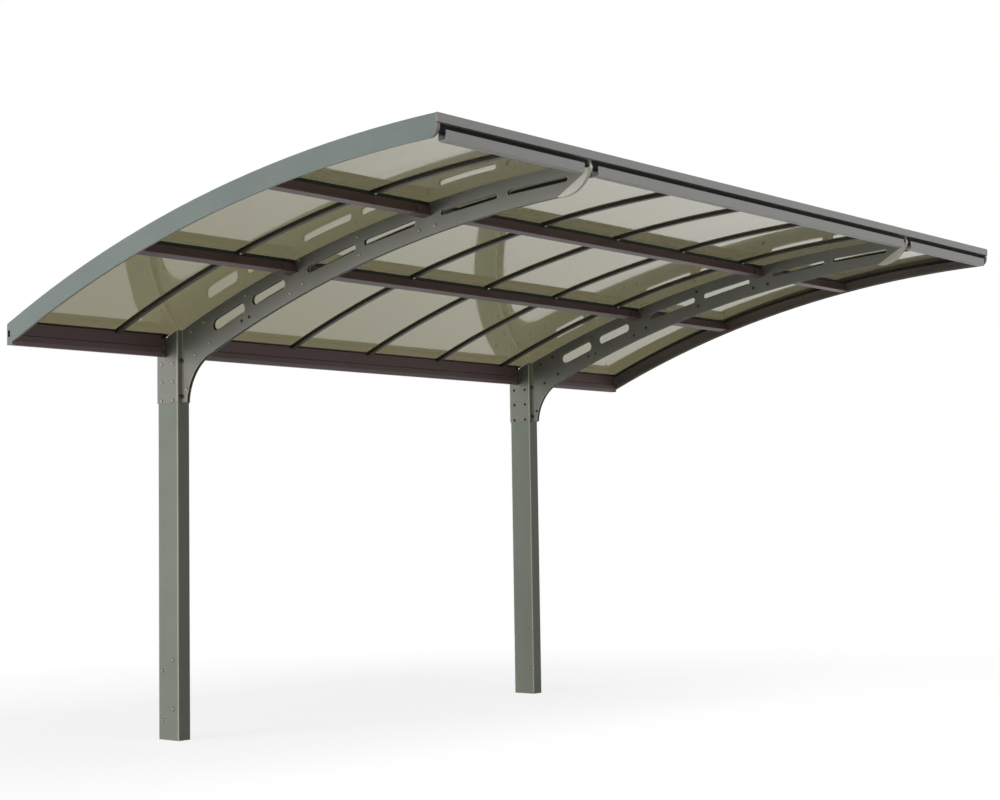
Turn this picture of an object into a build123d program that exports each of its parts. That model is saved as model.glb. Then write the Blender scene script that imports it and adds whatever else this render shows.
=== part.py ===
from build123d import *
import math
import os

os.makedirs("parts", exist_ok=True)

# Frame: X runs along the carport from the left end to the right end, the high front edge
# faces -Y and Z is up. The origin is the centre of the left post's foot.

# Roof length and bays
panel_count = 8
panel_pitch = 615
end_width = 20
post_spacing = 2934

# Roof arc, seen from the end: the arc is the top of the roof's ends
roof_radius = 7375
roof_front_y = -2783
roof_rear_y = 30
roof_front_z = 2693
crest_ahead_of_front = 88

# The deck of bars, panels and purlins follows the same arc, moved so that it meets the roof
# arc at the rear beam and dips under the front beam
deck_shift = 78.4
deck_sink = 32.9

# Roof ends: a thin fascia plate outside and, behind it, the rail that holds the panel
fascia_thickness = 5
fascia_depth = 98
fascia_corner_radius = 42
fascia_edge_radius = 2
rail_depth = 93
slot_bite = 12
slot_clearance = 1
outlet_width = 20
outlet_height = 31
outlet_front_y = 3
outlet_rise = 39

# Roof panels, hung below the top of the deck
panel_drop = 6
panel_thickness = 3
panel_edge_clearance = 1

# Glazing bars
bar_cap_width = 32
bar_cap_thickness = 4
bar_neck_width = 10
bar_body_width = 26
bar_depth = 12
bar_wall = 3

# Purlins, placed by their share of the way from the posts to the roof's front
rear_purlin_share = 0.33
front_purlin_share = 0.652
purlin_width = 42
purlin_depth = 45
purlin_wall = 2.5
purlin_lip_height = 12
purlin_lip_depth = 4
seal_width = 12
seal_base = 5
seal_inset = 1
seal_end_gap = 1
edge_seal_width = 4
edge_seal_height = 10

# Purlin shoes at the arms
shoe_length = 96
shoe_thickness = 3
shoe_side_height = 34

# Rear beam, a box gutter with a slot that takes the panels
beam_front_y = -14
beam_height = 116
beam_wall = 3
beam_step_height = 46
beam_groove = 4
beam_nose = 4
beam_foot_height = 18
beam_foot_setback = 14
beam_slot_clearance = 1.5

# Cleats in the rear beam's notched ends, beside the arms
notch_length = 52
cleat_front_y = 5
cleat_thickness = 3
cleat_tail = 30
cleat_top_gap = 14

# Front beam and the cover strips that clip on under it
front_beam_height = 37
front_beam_depth = 60
front_beam_wall = 4
strip_top_drop = 62
strip_height = 43
strip_thickness = 4
strip_riser_setback = 36
strip_end_gap = 50
strip_arm_gap = 57
strip_gap_left_arm = 22
strip_gap_right_arm = 8
groove_seal_width = 10
groove_seal_lap = 8

# Posts
post_width = 82
post_depth = 158
post_wall = 4
post_corner_radius = 7
post_top_drop = 72
foot_height = 450
foot_wall = 5
foot_plate = 10
foot_clearance = 1
anchor_spacing = 90
anchor_hole_radius = 7

# Arms, each of two folded sheets
sheet = 4
bend_radius = 6
arm_width = 20
sleeve_height = 360
arm_top_drop_rear = 12
arm_top_drop_middle = 27
arm_top_drop_front = 42
arm_setback = 38
nose_step = 18
nose_height = 55
heel_run = 139
heel_fall = 81
web_belly_share = 0.474
web_belly_drop = 199
gusset_top_run = 221
gusset_top_drop = 118
gusset_middle_run = 104
gusset_middle_drop = 200
gusset_foot_run = 39

# Slots in the arms: where each pair starts and ends, as shares of the way from the posts to
# the web's front, and the width of its two slots
slot_drop = 103
slot_pair_gap = 56
slot_pairs = [(0.118, 0.314, (60, 52)), (0.372, 0.636, (36, 32)), (0.694, 0.964, (24, 22))]

# Arm end caps
cap_setback = 14
cap_slope = 8
cap_shoulder_fall = 34
cap_belly_run = 57
cap_belly_fall = 77
cap_tongue = 30
cap_clearance = 0.5

# Worked out from the sizes above
roof_length = panel_count * panel_pitch + 2 * end_width
overhang = (roof_length - post_spacing) / 2
left_end_x = -overhang
right_end_x = left_end_x + roof_length
arc_centre_y = roof_front_y - crest_ahead_of_front
arc_centre_z = roof_front_z - math.sqrt(roof_radius**2 - crest_ahead_of_front**2)
arm_xs = {"left": 0, "right": post_spacing}
bar_xs = [left_end_x + end_width + panel_pitch * n for n in range(1, panel_count)]
panel_under_drop = panel_drop + panel_thickness
bar_under_drop = panel_under_drop + bar_depth
purlin_drop = bar_under_drop + seal_base
cheek_x = post_width / 2 + sheet
web_x = arm_width / 2
front_beam_back_y = roof_front_y + front_beam_depth
front_beam_bottom_z = roof_front_z - front_beam_height
panel_rear_y = beam_front_y + slot_bite
panel_front_y = front_beam_back_y - slot_bite
end_front_y = roof_front_y + front_beam_wall
riser_y = roof_front_y + strip_riser_setback
web_front_y = roof_front_y + arm_setback
web_nose_y = web_front_y + nose_step
web_heel_y = web_nose_y + heel_run
web_belly_y = web_front_y * web_belly_share
cap_reach_y = roof_front_y + cap_setback
rear_purlin_y = roof_front_y * rear_purlin_share
front_purlin_y = roof_front_y * front_purlin_share
gusset_foot_y = -post_depth / 2 - gusset_foot_run
gusset_middle_y = -post_depth / 2 - gusset_middle_run
gusset_top_y = -post_depth / 2 - gusset_top_run


def roof_point(y, drop=0):
    """The point at this y on the roof arc, or on the arc that lies this far below it."""
    radius = roof_radius - drop
    return (y, arc_centre_z + math.sqrt(radius**2 - (y - arc_centre_y) ** 2))


def deck_point(y, drop=0):
    """The point at this y on the deck's arc, or on the arc that lies this far below it."""
    return (y, roof_point(y - deck_shift, drop)[1] - deck_sink)


def roof_angle(y, drop=0):
    """The angle in degrees by which a piece standing on the roof arc leans from upright."""
    return math.degrees(math.asin((y - arc_centre_y) / (roof_radius - drop)))


# Heights at the low side hang from the roof above the posts
eaves_z = roof_point(0)[1]
beam_bottom_z = eaves_z - beam_height
beam_wall_top_z = deck_point(beam_front_y, panel_under_drop + beam_slot_clearance)[1]
post_top_z = eaves_z - post_top_drop
sleeve_bottom_z = eaves_z - sleeve_height
gusset_top_z = eaves_z - gusset_top_drop
gusset_middle_z = eaves_z - gusset_middle_drop
web_belly_z = roof_point(web_belly_y)[1] - web_belly_drop
arm_tip_z = roof_point(web_front_y, arm_top_drop_front)[1]
web_nose_z = arm_tip_z - nose_height
web_heel_z = web_nose_z - heel_fall
cap_shoulder_z = front_beam_bottom_z - cap_shoulder_fall
inner_left_x = left_end_x + end_width
inner_right_x = right_end_x - end_width


def lengths_between_arms(left_gap, arm_gap, right_gap):
    """The left, middle and right lengths, each as its start and end along X.

    The gaps are those kept from the left end, from each arm's centre and from the right end.
    """
    left_x, right_x = arm_xs["left"], arm_xs["right"]
    return {
        "left": (left_end_x + left_gap, left_x - arm_gap),
        "middle": (left_x + arm_gap, right_x - arm_gap),
        "right": (right_x + arm_gap, right_end_x - right_gap),
    }


def arc_line(point, drop, start_y, end_y):
    """A line along an arc in the open line builder. point is roof_point or deck_point."""
    middle_y = (start_y + end_y) / 2
    return ThreePointArc(point(start_y, drop), point(middle_y, drop), point(end_y, drop))


def deck_band(start_x, end_x, top_drop, under_drop, rear_y, front_y, mode=Mode.ADD):
    """A curved band that follows the deck between two drops, in the open part builder."""
    with BuildSketch(Plane.YZ.offset(start_x)) as band:
        with BuildLine():
            arc_line(deck_point, top_drop, rear_y, front_y)
            Line(deck_point(front_y, top_drop), deck_point(front_y, under_drop))
            arc_line(deck_point, under_drop, front_y, rear_y)
            Line(deck_point(rear_y, under_drop), deck_point(rear_y, top_drop))
        make_face()
    extrude(band.sketch, amount=end_x - start_x, mode=mode)


def save(builder, name):
    builder.part.label = name
    export_step(builder.part, f"parts/{name}.step")


# Posts: plain rectangular tubes with a rounded corner, cut off level at the ground


def make_post(side):
    with BuildPart() as post:
        with BuildSketch(Plane.XY):
            with Locations((arm_xs[side], 0)):
                RectangleRounded(post_width, post_depth, post_corner_radius)
                RectangleRounded(
                    post_width - 2 * post_wall,
                    post_depth - 2 * post_wall,
                    post_corner_radius - post_wall,
                    mode=Mode.SUBTRACT,
                )
        extrude(amount=post_top_z)
    save(post, f"{side}_post")


# Post feet: a welded box with a base plate, which stands inside the tube


def make_post_foot(side):
    foot_width = post_width - 2 * (post_wall + foot_clearance)
    foot_depth = post_depth - 2 * (post_wall + foot_clearance)
    with BuildPart() as foot:
        with BuildSketch(Plane.XY):
            with Locations((arm_xs[side], 0)):
                Rectangle(foot_width, foot_depth)
        extrude(amount=foot_height)
        with BuildSketch(Plane.XY.offset(foot_plate)):
            with Locations((arm_xs[side], 0)):
                Rectangle(foot_width - 2 * foot_wall, foot_depth - 2 * foot_wall)
        extrude(amount=foot_height, mode=Mode.SUBTRACT)
        with BuildSketch(Plane.XY):
            with Locations((arm_xs[side], 0)):
                with GridLocations(0, anchor_spacing, 1, 2):
                    Circle(anchor_hole_radius)
        extrude(amount=foot_plate, mode=Mode.SUBTRACT)
    save(foot, f"{side}_post_foot")


# Arms: a sheet folded twice, so that it clasps the post's side and front and then runs
# forward as a web. The fold is drawn from above and cut to the arm's side outline.


def arm_side_outline():
    """The side outline of a folded sheet, from the back of the post to the arm's nose."""
    rear_y = post_depth / 2
    with BuildLine() as outline:
        Line((rear_y, sleeve_bottom_z), roof_point(rear_y, arm_top_drop_rear))
        ThreePointArc(
            roof_point(rear_y, arm_top_drop_rear),
            roof_point(web_front_y / 2, arm_top_drop_middle),
            roof_point(web_front_y, arm_top_drop_front),
        )
        Polyline(
            roof_point(web_front_y, arm_top_drop_front),
            (web_nose_y, web_nose_z),
            (web_heel_y, web_heel_z),
        )
        ThreePointArc(
            (web_heel_y, web_heel_z), (web_belly_y, web_belly_z), (gusset_top_y, gusset_top_z)
        )
        ThreePointArc(
            (gusset_top_y, gusset_top_z),
            (gusset_middle_y, gusset_middle_z),
            (gusset_foot_y, sleeve_bottom_z),
        )
        Line((gusset_foot_y, sleeve_bottom_z), (rear_y, sleeve_bottom_z))
    return outline.line


def cut_arm_slots(arm_x):
    for start_share, end_share, widths in slot_pairs:
        start_y = web_front_y * start_share
        length = (start_y - web_front_y * end_share - slot_pair_gap) / len(widths)
        for number, width in enumerate(widths):
            middle_y = start_y - length / 2 - number * (length + slot_pair_gap)
            lean = roof_angle(middle_y)
            with BuildSketch(Plane.YZ.offset(arm_x)) as slot:
                with Locations(Location(roof_point(middle_y, slot_drop), -lean)):
                    SlotOverall(length / math.cos(math.radians(lean)), width)
            extrude(slot.sketch, amount=arm_width, both=True, mode=Mode.SUBTRACT)


def make_arm_sheet(side, hand, name):
    """One sheet of an arm. hand is -1 for the sheet on the left of the arm, 1 on the right."""
    arm_x = arm_xs[side]
    middle = sheet / 2
    cheek_line = arm_x + hand * (cheek_x - middle)
    web_line = arm_x + hand * (web_x - middle)
    strip_line = -post_depth / 2 - middle
    with BuildPart() as plate:
        with BuildSketch(Plane.XY.offset(sleeve_bottom_z)):
            with BuildLine():
                FilletPolyline(
                    (cheek_line, post_depth / 2),
                    (cheek_line, strip_line),
                    (web_line, strip_line),
                    (web_line, web_front_y),
                    radius=bend_radius,
                )
            trace(line_width=sheet)
        extrude(amount=roof_front_z - sleeve_bottom_z)
        with BuildSketch(Plane.YZ.offset(arm_x)):
            make_face(arm_side_outline())
        extrude(amount=post_width, both=True, mode=Mode.INTERSECT)
        cut_arm_slots(arm_x)
    save(plate, name)


# Arm end caps: moulded plugs with a rounded nose and a tongue between the two webs


def make_arm_cap(side):
    arm_x = arm_xs[side]
    tip = (cap_reach_y + cap_slope, front_beam_bottom_z)
    with BuildPart() as cap:
        with BuildSketch(Plane.YZ.offset(arm_x - web_x)):
            with BuildLine():
                Polyline(
                    (web_heel_y, web_heel_z),
                    (web_nose_y, web_nose_z),
                    (web_front_y, arm_tip_z),
                    (web_front_y, front_beam_bottom_z),
                    tip,
                    (cap_reach_y, cap_shoulder_z),
                )
                ThreePointArc(
                    (cap_reach_y, cap_shoulder_z),
                    (cap_reach_y + cap_belly_run, cap_shoulder_z - cap_belly_fall),
                    (web_heel_y, web_heel_z),
                )
            make_face()
        extrude(amount=arm_width)
        tongue_x = web_x - sheet - cap_clearance
        with BuildSketch(Plane.YZ.offset(arm_x - tongue_x)):
            with BuildLine():
                Polyline(
                    (web_nose_y, web_nose_z),
                    (web_front_y, arm_tip_z - sheet),
                    (web_front_y + cap_tongue, arm_tip_z - sheet),
                    (web_nose_y + cap_tongue, web_nose_z),
                    (web_nose_y, web_nose_z),
                )
            make_face()
        extrude(amount=2 * tongue_x)
    save(cap, f"{side}_arm_cap")


# Rear beam: three lengths of one box gutter, which butt against the arms' cheeks


def beam_section():
    """The outline of the gutter, with its slot open towards the roof panels."""
    lip_z = roof_point(beam_front_y)[1]
    slot_top = deck_point(beam_front_y, panel_drop - beam_slot_clearance)[1]
    back_z = roof_point(roof_rear_y)[1]
    step_z = beam_bottom_z + beam_step_height
    foot_z = beam_bottom_z + beam_foot_height
    with BuildLine() as outline:
        Polyline(
            (roof_rear_y, beam_bottom_z),
            (roof_rear_y, back_z),
            (beam_front_y, lip_z),
            (beam_front_y, slot_top),
            (roof_rear_y - beam_wall, back_z - (lip_z - slot_top)),
            (roof_rear_y - beam_wall, beam_bottom_z + beam_wall),
            (beam_front_y + beam_foot_setback, beam_bottom_z + beam_wall),
            (beam_front_y + beam_wall, foot_z),
            (beam_front_y + beam_wall, beam_wall_top_z),
            (beam_front_y, beam_wall_top_z),
            (beam_front_y, step_z + beam_groove),
            (beam_front_y + beam_wall / 2, step_z + beam_groove / 2),
            (beam_front_y - beam_nose, step_z),
            (beam_front_y - beam_nose, foot_z),
            (beam_front_y + beam_foot_setback, beam_bottom_z),
            (roof_rear_y, beam_bottom_z),
        )
    return outline.line


def make_rear_beam(bay, start_x, end_x):
    """One length of the gutter. Its front wall is notched where it meets an arm's cheek."""
    notches = {
        "left": [end_x - notch_length],
        "middle": [start_x, end_x - notch_length],
        "right": [start_x],
    }[bay]
    with BuildPart() as beam:
        with BuildSketch(Plane.YZ.offset(start_x)):
            make_face(beam_section())
        extrude(amount=end_x - start_x)
        for notch_x in notches:
            with Locations((notch_x, beam_front_y - beam_nose, beam_bottom_z)):
                Box(
                    notch_length,
                    cleat_front_y + cleat_thickness - beam_front_y + beam_nose,
                    beam_wall_top_z - beam_bottom_z,
                    align=Align.MIN,
                    mode=Mode.SUBTRACT,
                )
    save(beam, f"rear_beam_{bay}")


def make_beam_cleats():
    """Folded cleats that join the gutter's notched ends to the arms' cheeks."""
    floor_z = beam_bottom_z + beam_wall
    height = beam_wall_top_z - cleat_top_gap - beam_bottom_z
    depth = roof_rear_y - beam_wall - cleat_front_y
    with BuildPart() as cleats:
        for arm_x in arm_xs.values():
            for hand in (-1, 1):
                along = (Align.MAX if hand < 0 else Align.MIN, Align.MIN, Align.MIN)
                face_x = arm_x + hand * cheek_x
                with Locations((face_x, cleat_front_y, beam_bottom_z)):
                    Box(notch_length, cleat_thickness, height, align=along)
                with Locations((face_x, cleat_front_y, floor_z)):
                    Box(cleat_thickness, depth, height - beam_wall, align=along)
                    Box(notch_length + cleat_tail, depth, cleat_thickness, align=along)
    save(cleats, "rear_beam_cleats")


# Purlins: box extrusions that stand square on the arc, with a small lip along the front


def purlin_plane(purlin_y, start_x):
    """The plane across a purlin, with its origin at the middle of the purlin's top.

    The flat top is a chord of the arc under the seals, which bear on its edges.
    """
    bearing_radius = roof_radius - purlin_drop
    drop = roof_radius - math.sqrt(bearing_radius**2 - (purlin_width / 2) ** 2)
    y, z = deck_point(purlin_y, drop)
    lean = math.radians(roof_angle(purlin_y - deck_shift, drop))
    along = (0, math.cos(lean), -math.sin(lean))
    return Plane(origin=(start_x, y, z), x_dir=along, z_dir=(1, 0, 0))


def make_purlin(name, purlin_y, start_x, end_x):
    with BuildPart() as purlin:
        with BuildSketch(purlin_plane(purlin_y, start_x)):
            with Locations((0, -purlin_depth / 2)):
                Rectangle(purlin_width, purlin_depth)
                Rectangle(
                    purlin_width - 2 * purlin_wall,
                    purlin_depth - 2 * purlin_wall,
                    mode=Mode.SUBTRACT,
                )
            with Locations((-purlin_width / 2, -purlin_depth + purlin_lip_height / 2)):
                Rectangle(2 * purlin_lip_depth, purlin_lip_height)
        extrude(amount=end_x - start_x)
    save(purlin, name)


def make_purlin_shoes():
    """Cups under the purlins' ends at the arms, eight on one node."""
    with BuildPart() as shoes:
        for purlin_y in (rear_purlin_y, front_purlin_y):
            for arm_x in arm_xs.values():
                for hand in (-1, 1):
                    start_x = arm_x + hand * web_x
                    plane = purlin_plane(purlin_y, start_x)
                    front = -purlin_width / 2 - purlin_lip_depth
                    back = purlin_width / 2
                    with BuildSketch(plane):
                        with BuildLine():
                            Polyline(
                                (front, -purlin_depth + shoe_side_height),
                                (front, -purlin_depth),
                                (back, -purlin_depth),
                                (back, -purlin_depth + shoe_side_height),
                                (back + shoe_thickness, -purlin_depth + shoe_side_height),
                                (back + shoe_thickness, -purlin_depth - shoe_thickness),
                                (front - shoe_thickness, -purlin_depth - shoe_thickness),
                                (front - shoe_thickness, -purlin_depth + shoe_side_height),
                                close=True,
                            )
                        make_face()
                    extrude(amount=hand * shoe_length)
    save(shoes, "purlin_shoes")


def make_roof_seals():
    """Black strips on the purlins, notched for the bars, and along the front beam's groove."""
    inner_lengths = lengths_between_arms(end_width, web_x + seal_end_gap, end_width)
    half_body = bar_body_width / 2
    groove_y = riser_y - groove_seal_width
    groove_bottom_z = roof_front_z - strip_top_drop - groove_seal_lap
    with BuildPart() as seals:
        for purlin_y in (rear_purlin_y, front_purlin_y):
            front_y = purlin_y - purlin_width / 2 + seal_inset
            rear_y = front_y + seal_width
            for start_x, end_x in inner_lengths.values():
                deck_band(start_x, end_x, panel_under_drop, purlin_drop, rear_y, front_y)
            for bar_x in bar_xs:
                deck_band(
                    bar_x - half_body,
                    bar_x + half_body,
                    panel_under_drop,
                    bar_under_drop,
                    rear_y,
                    front_y,
                    mode=Mode.SUBTRACT,
                )
        for edge_x in (inner_left_x, inner_right_x - edge_seal_width):
            deck_band(
                edge_x,
                edge_x + edge_seal_width,
                panel_under_drop,
                panel_under_drop + edge_seal_height,
                beam_front_y,
                panel_front_y,
            )
        for start_x, end_x in inner_lengths.values():
            with Locations((start_x, groove_y, groove_bottom_z)):
                Box(
                    end_x - start_x,
                    groove_seal_width,
                    front_beam_bottom_z - groove_bottom_z,
                    align=Align.MIN,
                )
    save(seals, "roof_seals")


# Front beam: a box between the roof's ends, over the panels, with a front wall that laps
# the ends


def make_front_beam():
    middle = (roof_front_y + front_beam_depth / 2, roof_front_z - front_beam_height / 2)
    with BuildPart() as beam:
        with BuildSketch(Plane.YZ.offset(inner_left_x)):
            with Locations(middle):
                Rectangle(front_beam_depth, front_beam_height)
                Rectangle(
                    front_beam_depth - 2 * front_beam_wall,
                    front_beam_height - 2 * front_beam_wall,
                    mode=Mode.SUBTRACT,
                )
        extrude(amount=inner_right_x - inner_left_x)
        with Locations((left_end_x, roof_front_y, front_beam_bottom_z)):
            Box(roof_length, front_beam_wall, front_beam_height, align=Align.MIN)
    save(beam, "front_beam")


def make_cover_strip(name, start_x, end_x):
    """A J-shaped strip: a riser under the beam, a floor and the front face."""
    face_top = roof_front_z - strip_top_drop
    face_under = face_top - strip_height
    with BuildPart() as strip:
        with BuildSketch(Plane.YZ.offset(start_x)):
            with BuildLine():
                Polyline(
                    (riser_y, front_beam_bottom_z),
                    (riser_y + strip_thickness, front_beam_bottom_z),
                    (riser_y + strip_thickness, face_under),
                    (roof_front_y, face_under),
                    (roof_front_y, face_top),
                    (roof_front_y + strip_thickness, face_top),
                    (roof_front_y + strip_thickness, face_under + strip_thickness),
                    (riser_y, face_under + strip_thickness),
                    close=True,
                )
            make_face()
        extrude(amount=end_x - start_x)
    save(strip, name)


# Roof ends: on each side a fascia plate and the rail behind it, both with a rounded lower
# front corner, a foot that closes the gutter and an outlet through it


def end_outline(depth):
    """The side outline of a fascia or rail that is this deep below the roof arc."""
    round_end = roof_point(end_front_y + fascia_corner_radius, depth)
    centre = (round_end[0], round_end[1] + fascia_corner_radius)
    reach = fascia_corner_radius * math.sqrt(0.5)
    with BuildLine() as outline:
        arc_line(roof_point, 0, roof_rear_y, end_front_y)
        Line(roof_point(end_front_y), (end_front_y, centre[1]))
        ThreePointArc(
            (end_front_y, centre[1]), (centre[0] - reach, centre[1] - reach), round_end
        )
        arc_line(roof_point, depth, round_end[0], beam_front_y)
        Polyline(
            roof_point(beam_front_y, depth),
            (beam_front_y, beam_bottom_z),
            (roof_rear_y, beam_bottom_z),
            roof_point(roof_rear_y),
        )
    return outline.line


def cut_outlet(start_x, thickness):
    with Locations((start_x, outlet_front_y, beam_bottom_z + outlet_rise)):
        Box(thickness, outlet_width, outlet_height, align=Align.MIN, mode=Mode.SUBTRACT)


def make_fascia(side):
    start_x = {"left": left_end_x, "right": right_end_x - fascia_thickness}[side]
    with BuildPart() as fascia:
        with BuildSketch(Plane.YZ.offset(start_x)):
            make_face(end_outline(fascia_depth))
        extrude(amount=fascia_thickness)
        outer_face = fascia.faces().sort_by(Axis.X)[0 if side == "left" else -1]
        fillet(outer_face.outer_wire().edges(), radius=fascia_edge_radius)
        cut_outlet(start_x, fascia_thickness)
    save(fascia, f"{side}_fascia")


def make_end_rail(side):
    thickness = end_width - fascia_thickness
    start_x = {"left": left_end_x + fascia_thickness, "right": inner_right_x}[side]
    slot_x = {"left": inner_left_x - slot_bite, "right": inner_right_x}[side]
    with BuildPart() as rail:
        with BuildSketch(Plane.YZ.offset(start_x)):
            make_face(end_outline(rail_depth))
        extrude(amount=thickness)
        deck_band(
            slot_x,
            slot_x + slot_bite,
            panel_drop - slot_clearance,
            panel_under_drop + slot_clearance,
            panel_rear_y + slot_clearance,
            panel_front_y - slot_clearance,
            mode=Mode.SUBTRACT,
        )
        cut_outlet(start_x, thickness)
    save(rail, f"{side}_end_rail")


# Glazing bars: a hollow body that sits on the purlins, a neck between the panels and a cap


def make_glazing_bar(number, bar_x):
    half_body = bar_body_width / 2
    half_cap = bar_cap_width / 2
    half_neck = bar_neck_width / 2
    rear_y = beam_front_y
    front_y = front_beam_back_y
    with BuildPart() as bar:
        deck_band(
            bar_x - half_body, bar_x + half_body, panel_under_drop, bar_under_drop, rear_y, front_y
        )
        deck_band(
            bar_x - half_neck, bar_x + half_neck, bar_cap_thickness, panel_under_drop, rear_y, front_y
        )
        deck_band(bar_x - half_cap, bar_x + half_cap, 0, bar_cap_thickness, rear_y, front_y)
        deck_band(
            bar_x - half_body + bar_wall,
            bar_x + half_body - bar_wall,
            panel_under_drop + bar_wall,
            bar_under_drop - bar_wall,
            rear_y,
            front_y,
            mode=Mode.SUBTRACT,
        )
    save(bar, f"glazing_bar_{number}")


# Roof panels: clear sheets bent to the arc, held in the bars, the fascias and the beams


def make_roof_panel(number, start_x, end_x):
    with BuildPart() as panel:
        deck_band(start_x, end_x, panel_drop, panel_under_drop, panel_rear_y, panel_front_y)
    save(panel, f"roof_panel_{number}")


for side in ("left", "right"):
    make_post(side)
    make_post_foot(side)
    make_arm_sheet(side, -1, f"{side}_arm_left_sheet")
    make_arm_sheet(side, 1, f"{side}_arm_right_sheet")
    make_arm_cap(side)
    make_fascia(side)
    make_end_rail(side)

for bay, (start_x, end_x) in lengths_between_arms(end_width, cheek_x, end_width).items():
    make_rear_beam(bay, start_x, end_x)
make_beam_cleats()

for bay, (start_x, end_x) in lengths_between_arms(end_width, web_x, end_width).items():
    make_purlin(f"rear_purlin_{bay}", rear_purlin_y, start_x, end_x)
    make_purlin(f"front_purlin_{bay}", front_purlin_y, start_x, end_x)
make_purlin_shoes()
make_roof_seals()

make_front_beam()
strip_shifts = {"left": 0, "middle": strip_gap_left_arm, "right": strip_gap_right_arm}
for bay, (start_x, end_x) in lengths_between_arms(strip_end_gap, web_x, strip_end_gap).items():
    strip_end_x = end_x if bay == "right" else end_x - strip_arm_gap
    make_cover_strip(f"front_cover_{bay}", start_x + strip_shifts[bay], strip_end_x)

for number, bar_x in enumerate(bar_xs, start=1):
    make_glazing_bar(number, bar_x)

# Each panel stops short of the bar's neck, or of the bottom of the end rail's slot
neck_gap = bar_neck_width / 2 + panel_edge_clearance
panel_starts = [inner_left_x - slot_bite + slot_clearance] + [x + neck_gap for x in bar_xs]
panel_ends = [x - neck_gap for x in bar_xs] + [inner_right_x + slot_bite - slot_clearance]
for number, (start_x, end_x) in enumerate(zip(panel_starts, panel_ends), start=1):
    make_roof_panel(number, start_x, end_x)
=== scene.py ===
import math

import bmesh
import bpy
from mathutils import Matrix, Vector


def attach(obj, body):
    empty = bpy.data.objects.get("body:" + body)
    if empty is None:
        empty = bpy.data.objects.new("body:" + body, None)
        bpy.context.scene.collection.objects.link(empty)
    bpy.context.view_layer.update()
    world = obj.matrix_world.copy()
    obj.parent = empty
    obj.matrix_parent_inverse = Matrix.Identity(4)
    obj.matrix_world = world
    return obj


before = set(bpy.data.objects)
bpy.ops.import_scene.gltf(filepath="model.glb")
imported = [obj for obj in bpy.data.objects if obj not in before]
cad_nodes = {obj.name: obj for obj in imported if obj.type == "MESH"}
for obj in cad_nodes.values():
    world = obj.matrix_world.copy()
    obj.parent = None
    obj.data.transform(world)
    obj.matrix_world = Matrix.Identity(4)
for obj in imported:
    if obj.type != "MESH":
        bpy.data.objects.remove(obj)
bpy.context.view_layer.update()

# Everything is in metres in the frame of the solids: X runs along the carport, the high
# front edge faces -Y, and the origin is the centre of the left post's foot.
MM = 0.001
POST_XS = (0.0, 2.934)
# From a post's middle plane to its own side, to the arm sheets' cheeks and to their web
POST_X = 41 * MM
CHEEK_X = 45 * MM
WEB_X = 10 * MM
# From a post's middle plane to the ends of the seal on each cleat
SEAL_INNER_X = 45.5 * MM
SEAL_OUTER_X = 96 * MM
# The faces that look forward: the strips between the arm sheets, and the cleats
STRIP_FACE_Y = -83 * MM
CLEAT_FACE_Y = 5 * MM


def linear(hex_colour):
    """The linear colour, with alpha 1, of an sRGB hex value."""
    channels = [int(hex_colour[i:i + 2], 16) / 255 for i in (1, 3, 5)]
    return [c / 12.92 if c <= 0.04045 else ((c + 0.055) / 1.055) ** 2.4 for c in channels] + [1.0]


def scaled(colour, factor):
    """A linear colour with its channels times factor, none above 1."""
    return [min(1, c * factor) for c in colour[:3]] + [1]


def add(tree, kind, inputs=None, **settings):
    """Adds a node. settings are its properties; inputs maps each socket to a value or a link."""
    node = tree.nodes.new(kind)
    for name, value in settings.items():
        setattr(node, name, value)
    for socket, value in (inputs or {}).items():
        if isinstance(value, bpy.types.NodeSocket):
            tree.links.new(value, node.inputs[socket])
        else:
            node.inputs[socket].default_value = value
    return node


def put(name, data):
    """A new object with that data, linked to the scene."""
    made = bpy.data.objects.new(name, data)
    bpy.context.scene.collection.objects.link(made)
    return made


# Materials


# The colour sockets of a mix node. Their names are shared with its other sockets.
MIX_A, MIX_B, MIXED = 6, 7, 2
WHITE = (1, 1, 1, 1)


def new_material(name):
    """An empty node material and its output node."""
    material = bpy.data.materials.new(name)
    material.use_nodes = True
    material.node_tree.nodes.clear()
    return material, add(material.node_tree, "ShaderNodeOutputMaterial")


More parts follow.
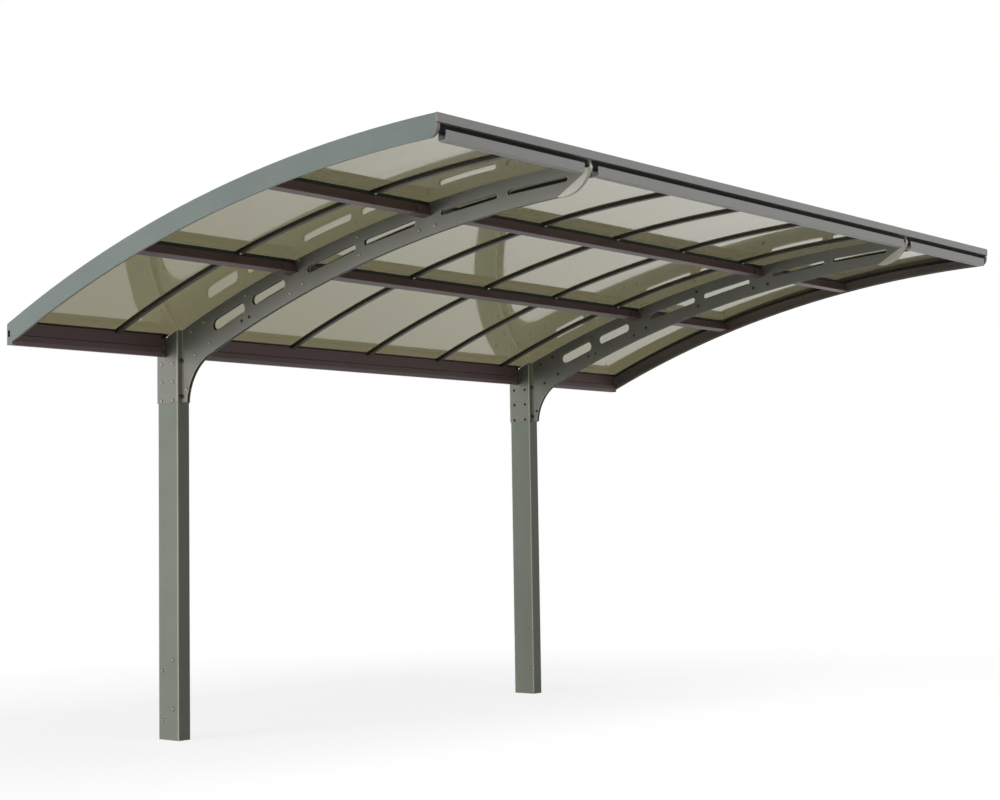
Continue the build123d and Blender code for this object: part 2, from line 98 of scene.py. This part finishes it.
def powder_coat(name, colour, along, roughness=0.46, cloud=0.05, streak=0.02, edge=0.0):
    """Satin powder coat on extruded or folded aluminium.

    The eye sees an even, slightly silky grey with a faint orange peel. Rain has left long soft
    streaks along the section. Where edge isn't 0, a cream highlight is painted on the upright
    corners.
    """
    material, output = new_material(name)
    tree = material.node_tree
    place = add(tree, "ShaderNodeTexCoord").outputs["Object"]
    # Weathering: clouds about 250 mm across.
    clouds = add(tree, "ShaderNodeTexNoise", {"Vector": place, "Scale": 4.0, "Detail": 4.0})
    # Streaks about 6 mm wide and 1 m long. Real ones are finer, and wouldn't show.
    stretch = {"X": (1, 170, 170), "Y": (170, 1, 170), "Z": (170, 170, 1)}[along]
    run = add(tree, "ShaderNodeMapping", {"Vector": place, "Scale": stretch})
    streaks = add(tree, "ShaderNodeTexNoise", {
        "Vector": run.outputs[0], "Scale": 1.0, "Detail": 2.0})
    base = linear(colour)
    clouded = add(tree, "ShaderNodeMapRange", {
        "Value": clouds.outputs["Fac"], "From Min": 0.35, "From Max": 0.65})
    tint = add(tree, "ShaderNodeMix", {
        "Factor": clouded.outputs[0], MIX_A: scaled(base, 1 - cloud),
        MIX_B: scaled(base, 1 + cloud)}, data_type="RGBA")
    worn = add(tree, "ShaderNodeMapRange", {
        "Value": streaks.outputs["Fac"], "From Min": 0.3, "From Max": 0.7,
        "To Min": 1 - streak, "To Max": 1 + streak})
    shade = add(tree, "ShaderNodeVectorMath", {0: tint.outputs[MIXED], "Scale": worn.outputs[0]},
                operation="SCALE")
    # Painted highlight: within about 5 mm of an upright corner, where the normal turns from one
    # axis to the other, the colour goes cream-grey, standing in for the light that such corners
    # catch.
    rounded = add(tree, "ShaderNodeBevel", {"Radius": 0.009}, samples=4)
    parts = add(tree, "ShaderNodeSeparateXYZ", {0: rounded.outputs[0]})
    product = add(tree, "ShaderNodeMath", {0: parts.outputs[0], 1: parts.outputs[1]},
                  operation="MULTIPLY")
    turned = add(tree, "ShaderNodeMath", {0: product.outputs[0]}, operation="ABSOLUTE")
    corner_highlight_mask = add(tree, "ShaderNodeMapRange", {
        "Value": turned.outputs[0], "From Min": 0.2, "From Max": 0.4, "To Max": edge})
    highlighted_tint = add(tree, "ShaderNodeMix", {
        "Factor": corner_highlight_mask.outputs[0], MIX_A: shade.outputs[0], MIX_B: linear("#F2EAD4")},
        data_type="RGBA")
    gloss = add(tree, "ShaderNodeMapRange", {
        "Value": clouds.outputs["Fac"], "From Min": 0.3, "From Max": 0.7,
        "To Min": roughness - 0.05, "To Max": roughness + 0.06})
    # Orange peel: dimples of about 2 mm, a few hundredths of a millimetre deep.
    peel = add(tree, "ShaderNodeTexNoise", {"Vector": place, "Scale": 450.0, "Detail": 1.0})
    bump = add(tree, "ShaderNodeBump", {"Height": peel.outputs["Fac"], "Strength": 0.12,
                                        "Distance": 0.0004})
    surface = add(tree, "ShaderNodeBsdfPrincipled", {
        "Base Color": highlighted_tint.outputs[MIXED], "Roughness": gloss.outputs[0],
        "Normal": bump.outputs[0], "Metallic": 0.0, "IOR": 1.5})
    tree.links.new(surface.outputs[0], output.inputs["Surface"])
    return material


def bronze_sheet(name, colour, shadow_colour):
    """Clear polycarbonate sheet, 3 mm thick, tinted bronze and a little dusty.

    The eye sees a brown-grey veil with a sharp sheen at low angles and faint rain marks.
    """
    material, output = new_material(name)
    tree = material.node_tree
    place = add(tree, "ShaderNodeTexCoord").outputs["Object"]
    # Dust lies in soft runs down the slope, about 45 mm wide and 0.8 m long.
    run = add(tree, "ShaderNodeMapping", {"Vector": place, "Scale": (22, 1.2, 1.2)})
    dust = add(tree, "ShaderNodeTexNoise", {"Vector": run.outputs[0], "Scale": 1.0, "Detail": 5.0})
    haze = add(tree, "ShaderNodeMapRange", {
        "Value": dust.outputs["Fac"], "From Min": 0.35, "From Max": 0.75,
        "To Min": 0.02, "To Max": 0.09})
    clear = add(tree, "ShaderNodeBsdfPrincipled", {
        "Base Color": linear(colour), "Roughness": haze.outputs[0],
        "Metallic": 0.0, "IOR": 1.5, "Transmission Weight": 1.0})
    # Light on its way to other surfaces only takes the tint, so the shadow is soft and brown.
    passing = add(tree, "ShaderNodeBsdfTransparent", {"Color": linear(shadow_colour)})
    ray = add(tree, "ShaderNodeLightPath")
    onward = add(tree, "ShaderNodeMath", {
        0: ray.outputs["Is Shadow Ray"], 1: ray.outputs["Is Diffuse Ray"]}, operation="MAXIMUM")
    surface = add(tree, "ShaderNodeMixShader", {
        0: onward.outputs[0], 1: clear.outputs[0], 2: passing.outputs[0]})
    tree.links.new(surface.outputs[0], output.inputs["Surface"])
    return material


def moulded_plastic(name, colour, roughness):
    """Injection-moulded, weather-proof plastic with a very fine spark-eroded grain."""
    material, output = new_material(name)
    tree = material.node_tree
    place = add(tree, "ShaderNodeTexCoord").outputs["Object"]
    clouds = add(tree, "ShaderNodeTexNoise", {"Vector": place, "Scale": 18.0, "Detail": 3.0})
    base = linear(colour)
    tint = add(tree, "ShaderNodeMix", {
        "Factor": clouds.outputs["Fac"], MIX_A: scaled(base, 0.93), MIX_B: base},
        data_type="RGBA")
    # Grain of about 1 mm: the real one is 0.1 mm and wouldn't show.
    grain = add(tree, "ShaderNodeTexNoise", {"Vector": place, "Scale": 900.0, "Detail": 1.0})
    bump = add(tree, "ShaderNodeBump", {"Height": grain.outputs["Fac"], "Strength": 0.15,
                                        "Distance": 0.0003})
    surface = add(tree, "ShaderNodeBsdfPrincipled", {
        "Base Color": tint.outputs[MIXED], "Normal": bump.outputs[0], "Roughness": roughness,
        "Metallic": 0.0, "IOR": 1.5})
    tree.links.new(surface.outputs[0], output.inputs["Surface"])
    return material


def extruded_rubber(name, colour):
    """Black EPDM glazing seal: matte, with a grey bloom where it has dried."""
    material, output = new_material(name)
    tree = material.node_tree
    place = add(tree, "ShaderNodeTexCoord").outputs["Object"]
    bloom = add(tree, "ShaderNodeTexNoise", {"Vector": place, "Scale": 40.0, "Detail": 3.0})
    base = linear(colour)
    tint = add(tree, "ShaderNodeMix", {
        "Factor": bloom.outputs["Fac"], MIX_A: base, MIX_B: scaled(base, 1.8)},
        data_type="RGBA")
    surface = add(tree, "ShaderNodeBsdfPrincipled", {
        "Base Color": tint.outputs[MIXED], "Roughness": 0.8, "Metallic": 0.0, "IOR": 1.5})
    tree.links.new(surface.outputs[0], output.inputs["Surface"])
    return material


def galvanised_steel(name, colour, roughness):
    """Plated steel of screws and of the welded feet.

    The eye sees a dull metal, in patches where the crystals of the plating meet.
    """
    material, output = new_material(name)
    tree = material.node_tree
    place = add(tree, "ShaderNodeTexCoord").outputs["Object"]
    # Crystals about 12 mm across.
    crystals = add(tree, "ShaderNodeTexVoronoi", {"Vector": place, "Scale": 80.0})
    base = linear(colour)
    tint = add(tree, "ShaderNodeMix", {
        "Factor": crystals.outputs["Distance"], MIX_A: scaled(base, 0.8),
        MIX_B: scaled(base, 1.2)}, data_type="RGBA")
    surface = add(tree, "ShaderNodeBsdfPrincipled", {
        "Base Color": tint.outputs[MIXED], "Roughness": roughness, "Metallic": 1.0})
    tree.links.new(surface.outputs[0], output.inputs["Surface"])
    return material


# edge is the strength of the painted cream highlight on upright corners.
grey_post = powder_coat("grey_powder_coat_posts", "#878D80", "Z", roughness=0.38, edge=0.9)
grey_arm = powder_coat("grey_powder_coat_arms", "#93948A", "Y", edge=0.9)
grey_fascia = powder_coat("grey_powder_coat_fascias", "#808A85", "Y", edge=0.25)
grey_front = powder_coat("pale_grey_powder_coat_front", "#A09F9C", "X", edge=0.2)
bronze_beam = powder_coat("dark_bronze_powder_coat_beams", "#705859", "X")
bronze_rail = powder_coat("faded_bronze_powder_coat_rails", "#93877F", "Y")
bronze_bar = powder_coat("brown_powder_coat_bars", "#4A443B", "Y")
zinc_foot = galvanised_steel("galvanised_steel_feet", "#8A8C8E", 0.5)
zinc_screw = galvanised_steel("zinc_plated_steel_screws", "#85847C", 0.42)
# Dark screws, and also painted shade: the far arm's bolts and the rings round the bolt heads are
# this dark to stand in for shade.
dark_steel_and_shade = galvanised_steel("blackened_steel_screws_and_painted_shade", "#4A4640", 0.45)
bright_screw = galvanised_steel("stainless_steel_screws", "#D8D8D2", 0.3)
# Painted highlight: these heads are much paler than the sheet around them, standing in for the
# light on their domes.
highlight_bolt = powder_coat("pale_bolts_painted_highlight", "#DAD9CB", "Z", roughness=0.4)
cream_cap = moulded_plastic("moulded_asa_caps", "#E8E4D6", 0.42)
black_seal = extruded_rubber("epdm_rubber_seals", "#0C0C0D")
bronze_panel = bronze_sheet("bronze_polycarbonate_sheet", "#7B775A", "#8A8B72")

finish_of = {
    "_post_foot": zinc_foot,
    "_post": grey_post,
    "_sheet": grey_arm,
    "_arm_cap": cream_cap,
    "_fascia": grey_fascia,
    "rear_beam": bronze_beam,
    "rear_purlin": bronze_beam,
    "front_purlin": bronze_beam,
    "purlin_shoes": bronze_beam,
    "roof_seals": black_seal,
    "end_rail": bronze_rail,
    "front_beam": grey_front,
    "front_cover": grey_front,
    "glazing_bar": bronze_bar,
    "roof_panel": bronze_panel,
}
for node_name, node in cad_nodes.items():
    finish = next(material for part, material in finish_of.items() if part in node_name)
    node.data.materials.clear()
    node.data.materials.append(finish)


# Fasteners, made by one geometry tree: a button head on a washer at each point


def fastener_tree():
    """The tree, and the identifier of each of its inputs by name."""
    tree = bpy.data.node_groups.new("fastener_heads", "GeometryNodeTree")
    sockets = {}
    for name, kind in (
        ("Places", "NodeSocketGeometry"),
        ("Head radius", "NodeSocketFloat"),
        ("Head height", "NodeSocketFloat"),
        ("Washer radius", "NodeSocketFloat"),
        ("Washer height", "NodeSocketFloat"),
        ("Seed", "NodeSocketInt"),
        ("Finish", "NodeSocketMaterial"),
    ):
        socket = tree.interface.new_socket(name, in_out="INPUT", socket_type=kind)
        sockets[name] = socket.identifier
    tree.interface.new_socket("Heads", in_out="OUTPUT", socket_type="NodeSocketGeometry")
    given = add(tree, "NodeGroupInput").outputs
    dome = add(tree, "GeometryNodeMeshUVSphere", {"Segments": 12, "Rings": 8, "Radius": 1.0})
    size = add(tree, "ShaderNodeCombineXYZ", {
        "X": given["Head radius"], "Y": given["Head radius"], "Z": given["Head height"]})
    head = add(tree, "GeometryNodeTransform", {
        "Geometry": dome.outputs[0], "Scale": size.outputs[0]})
    washer = add(tree, "GeometryNodeMeshCylinder", {
        "Vertices": 16, "Radius": given["Washer radius"], "Depth": given["Washer height"]})
    both = add(tree, "GeometryNodeJoinGeometry", {"Geometry": head.outputs[0]})
    tree.links.new(washer.outputs[0], both.inputs[0])
    facing = add(tree, "GeometryNodeInputNamedAttribute", {"Name": "facing"},
                 data_type="FLOAT_VECTOR")
    aim = add(tree, "FunctionNodeAlignRotationToVector", {"Vector": facing.outputs[0]}, axis="Z")
    # The sockets of a random value node for plain numbers: the highest value, and the result.
    highest, result = 3, 1
    turn = add(tree, "FunctionNodeRandomValue", {"Seed": given["Seed"], highest: math.tau},
               data_type="FLOAT")
    spin = add(tree, "FunctionNodeAxisAngleToRotation", {
        "Axis": (0, 0, 1), "Angle": turn.outputs[result]})
    spun = add(tree, "FunctionNodeRotateRotation", {
        "Rotation": aim.outputs[0], "Rotate By": spin.outputs[0]}, rotation_space="LOCAL")
    heads = add(tree, "GeometryNodeInstanceOnPoints", {
        "Points": given["Places"], "Instance": both.outputs[0], "Rotation": spun.outputs[0]})
    real = add(tree, "GeometryNodeRealizeInstances", {0: heads.outputs[0]})
    painted = add(tree, "GeometryNodeSetMaterial", {
        "Geometry": real.outputs[0], "Material": given["Finish"]})
    add(tree, "NodeGroupOutput", {0: painted.outputs[0]})
    return tree, sockets


fastener_nodes, fastener_sockets = fastener_tree()


def make_fasteners(name, places, head, washer, finish, seed):
    """places is a list of (point, facing); head and washer are (radius, height) in mm."""
    mesh = bpy.data.meshes.new(name)
    mesh.from_pydata([point for point, _ in places], [], [])
    facing = mesh.attributes.new("facing", "FLOAT_VECTOR", "POINT")
    for number, (_, direction) in enumerate(places):
        facing.data[number].vector = direction
    maker = put(name, mesh)
    modifier = maker.modifiers.new("heads", "NODES")
    modifier.node_group = fastener_nodes
    for socket, value in {
        "Head radius": head[0] * MM,
        "Head height": head[1] * MM,
        "Washer radius": washer[0] * MM,
        "Washer height": washer[1] * MM,
        "Seed": seed,
        "Finish": finish,
    }.items():
        modifier[fastener_sockets[socket]] = value
    evaluated = maker.evaluated_get(bpy.context.evaluated_depsgraph_get())
    made = bpy.data.meshes.new_from_object(evaluated)
    bpy.data.objects.remove(maker)
    piece = put(name, made)
    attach(piece, "root")


# Where the bolts sit on the sides of each post and arm: (y, z) in mm, read on the outer faces
CHEEK_BOLTS = [(y, z) for y in (42, -46) for z in (1959, 1864, 1765)]
WEB_BOLTS = ((-118, 1819), (-185, 1996), (-295, 2047), (-152, 2118), (-254, 2159), (-572, 2268),
             (-901, 2250), (-992, 2289), (-965, 2409), (-1371, 2478), (-1380, 2390), (-1771, 2463),
             (-1870, 2475))
DARK_WEB_BOLTS = ((-544, 2143), (-601, 2159))
CAP_SCREWS = ((-2763, 2630),)
FOOT_SCREWS = ((-39, 416), (48, 357), (-39, 160), (48, 101))
# On faces that look forward: (x from the post's middle, z) in mm
STRIP_BOLTS = ((20, 1972), (20, 1784))
CLEAT_SCREWS = ((65, 2045), (67, 2005))
# On the undersides of the bars, in front of each purlin: (y, z) in mm and the bar's slope
BAR_SCREWS = ((-948, 2404.3, math.radians(14.7)), (-1844, 2578.2, math.radians(7.6)))


def on_sides(half_width, spots, posts=POST_XS):
    """Places on both sides of the posts, that far in metres from their middle planes."""
    return [((post_x + hand * half_width, y * MM, z * MM), (hand, 0, 0))
            for post_x in posts for hand in (-1, 1) for y, z in spots]


def on_arms(posts):
    """Places of the bolts in the arms on those posts, but for the dark pairs."""
    return on_sides(CHEEK_X, CHEEK_BOLTS, posts) + on_sides(WEB_X, WEB_BOLTS, posts)


def on_front(face_y, spots):
    """Places on a face at face_y that looks forward, mirrored about each post."""
    return [((post_x + hand * x * MM, face_y, z * MM), (0, -1, 0))
            for post_x in POST_XS for hand in (-1, 1) for x, z in spots]


bar_places = []
for node_name, node in sorted(cad_nodes.items()):
    if node_name.startswith("glazing_bar"):
        bar_x = (node.bound_box[0][0] + node.bound_box[6][0]) / 2
        bar_places += [((bar_x, y * MM, z * MM), (0, -math.sin(slope), -math.cos(slope)))
                       for y, z, slope in BAR_SCREWS]

# The name, the places, the head and the washer as (radius, height) in mm, and the finish
FASTENERS = (
    # Painted highlight: the left arm's bolts are pale.
    ("left_arm_bolts_painted_highlight", on_arms(POST_XS[:1]), (7, 7.5), (7.5, 2.5), highlight_bolt),
    # Painted shade: the right arm's bolts are the same as the left's, but dark.
    ("right_arm_bolts_painted_shade", on_arms(POST_XS[1:]), (7, 7.5), (7.5, 2.5), dark_steel_and_shade),
    # Painted shadow: a dark ring round each bolt head and foot screw, where the heads shade the
    # sheet.
    ("bolt_shadow_rings", on_arms(POST_XS) + on_sides(POST_X, FOOT_SCREWS), (9.5, 1), (9.5, 1.5),
     dark_steel_and_shade),
    ("strip_bolts", on_front(STRIP_FACE_Y, STRIP_BOLTS), (10, 10), (12, 3), dark_steel_and_shade),
    ("foot_screws", on_sides(POST_X, FOOT_SCREWS), (6, 6), (6.5, 2.5), highlight_bolt),
    ("dark_web_bolts", on_sides(WEB_X, DARK_WEB_BOLTS), (7.5, 4), (9, 2), dark_steel_and_shade),
    ("cap_screws", on_sides(WEB_X, CAP_SCREWS), (3.5, 1), (4.5, 1), dark_steel_and_shade),
    ("cleat_screws", on_front(CLEAT_FACE_Y, CLEAT_SCREWS), (5, 4), (6.5, 2), zinc_screw),
    ("bar_screws", bar_places, (5, 4), (7, 2), bright_screw),
)
for seed, (name, places, head, washer, finish) in enumerate(FASTENERS, start=1):
    make_fasteners(name, places, head, washer, finish, seed)


def make_cleat_seals():
    """Bulb seals on top of the cleats, which close the gap beside each arm under the roof's end."""
    # The profile is a 3 mm foot on the cleat's edge with a round bulb on it: (y, z) in mm.
    foot_y = 6.5
    foot_z = 2091.9
    foot_half = 1.5
    bulb_z = 2104.0
    bulb_radius = 7.0
    arc_steps = 20
    neck = math.asin(foot_half / bulb_radius)
    profile = [(foot_y - foot_half, foot_z), (foot_y + foot_half, foot_z)]
    for step in range(arc_steps + 1):
        angle = neck - math.pi / 2 + step * (math.tau - 2 * neck) / arc_steps
        profile.append((foot_y + bulb_radius * math.cos(angle),
                        bulb_z + bulb_radius * math.sin(angle)))
    made = bmesh.new()
    for post_x in POST_XS:
        for hand in (-1, 1):
            inner, outer = [
                [made.verts.new((post_x + hand * x, y * MM, z * MM)) for y, z in profile]
                for x in (SEAL_INNER_X, SEAL_OUTER_X)]
            made.faces.new(inner)
            made.faces.new(reversed(outer))
            for number, corner in enumerate(inner):
                made.faces.new((inner[number - 1], corner, outer[number], outer[number - 1]))
    bmesh.ops.recalc_face_normals(made, faces=made.faces)
    mesh = bpy.data.meshes.new("cleat_seals")
    made.to_mesh(mesh)
    made.free()
    mesh.materials.append(black_seal)
    seals = put("cleat_seals", mesh)
    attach(seals, "root")


make_cleat_seals()


# Floor, light and camera


def looked_at(tree):
    """1 where the camera sees the surface directly, in a reflection or through the panels."""
    ray = add(tree, "ShaderNodeLightPath")
    clear = add(tree, "ShaderNodeMath", {
        0: ray.outputs["Is Camera Ray"], 1: ray.outputs["Is Transmission Ray"]},
        operation="MAXIMUM")
    return add(tree, "ShaderNodeMath", {
        0: clear.outputs[0], 1: ray.outputs["Is Glossy Ray"]}, operation="MAXIMUM").outputs[0]


def make_floor():
    """A pale studio floor. Seen directly it is white but for the shadow under the object."""
    half = 60.0
    under_the_object = (1.5, -1.2, 0)
    mesh = bpy.data.meshes.new("studio_floor")
    corners = [(-half, -half, 0), (half, -half, 0), (half, half, 0), (-half, half, 0)]
    mesh.from_pydata(corners, [], [(0, 1, 2, 3)])
    floor = put("studio_floor", mesh)
    material, output = new_material("pale_studio_floor")
    tree = material.node_tree
    painted = add(tree, "ShaderNodeBsdfDiffuse", {"Color": linear("#B2B2B0")})
    glow = add(tree, "ShaderNodeEmission", {"Color": WHITE, "Strength": 0.8})
    near = add(tree, "ShaderNodeAddShader", {0: painted.outputs[0], 1: glow.outputs[0]})
    far = add(tree, "ShaderNodeEmission", {"Color": WHITE, "Strength": 1.0})
    # From 3.5 to 6.5 m from the object's middle the floor fades into the white backdrop.
    place = add(tree, "ShaderNodeTexCoord").outputs["Object"]
    away = add(tree, "ShaderNodeVectorMath", {0: place, 1: under_the_object}, operation="DISTANCE")
    fade = add(tree, "ShaderNodeMapRange", {
        "Value": away.outputs["Value"], "From Min": 3.5, "From Max": 6.5},
        interpolation_type="SMOOTHSTEP")
    white = add(tree, "ShaderNodeMixShader", {
        0: fade.outputs[0], 1: near.outputs[0], 2: far.outputs[0]})
    surface = add(tree, "ShaderNodeMixShader", {
        0: looked_at(tree), 1: painted.outputs[0], 2: white.outputs[0]})
    tree.links.new(surface.outputs[0], output.inputs["Surface"])
    mesh.materials.append(material)


def make_world():
    """Even studio light all round, with a white backdrop where it is looked at."""
    world = bpy.data.worlds.new("studio")
    bpy.context.scene.world = world
    world.use_nodes = True
    tree = world.node_tree
    tree.nodes.clear()
    light = add(tree, "ShaderNodeBackground", {"Color": linear("#F4F6FA"), "Strength": 0.16})
    backdrop = add(tree, "ShaderNodeBackground", {"Color": WHITE, "Strength": 1.0})
    mixed = add(tree, "ShaderNodeMixShader", {
        0: looked_at(tree), 1: light.outputs[0], 2: backdrop.outputs[0]})
    add(tree, "ShaderNodeOutputWorld", {"Surface": mixed.outputs[0]})


def add_softbox(name, place, target, width, height, power):
    """A lamp of that size in metres and power in watts, not mirrored in the smooth roof panels."""
    light = bpy.data.lights.new(name, "AREA")
    light.shape = "RECTANGLE"
    light.size = width
    light.size_y = height
    light.energy = power
    softbox = put(name, light)
    softbox.visible_glossy = False
    softbox.location = place
    softbox.rotation_euler = (Vector(target) - Vector(place)).to_track_quat("-Z", "Y").to_euler()


make_floor()
make_world()
object_middle = (1.5, -1.3, 1.6)
front_edge = (1.5, -2.8, 2.6)
add_softbox("key_from_the_left", (-15.0, 3.5, 1.8), object_middle, 7.0, 3.4, 1500)
add_softbox("sky_over_the_front", (2.0, -8.0, 9.5), front_edge, 9.0, 4.0, 500)


def make_camera():
    """The photograph's camera. It heads to yaw, clockwise from +Y, all angles in degrees."""
    place = (-6.1224, -7.3206, 1.098)
    yaw, pitch, roll = (math.radians(angle) for angle in (50.2904, 3.8869, -0.8841))
    ahead = Vector((
        math.sin(yaw) * math.cos(pitch), math.cos(yaw) * math.cos(pitch), math.sin(pitch)))
    level = Vector((math.cos(yaw), -math.sin(yaw), 0))
    upright = level.cross(ahead)
    right = level * math.cos(roll) + upright * math.sin(roll)
    up = upright * math.cos(roll) - level * math.sin(roll)
    data = bpy.data.cameras.new("photo_camera")
    data.sensor_width = 36
    data.lens = 64.258
    data.shift_y = 0.0016
    data.clip_end = 200
    camera = put("photo_camera", data)
    turned = Matrix((right, up, -ahead)).transposed().to_4x4()
    camera.matrix_world = Matrix.Translation(place) @ turned
    bpy.context.scene.camera = camera


make_camera()
bpy.context.scene.view_settings.view_transform = "Standard"
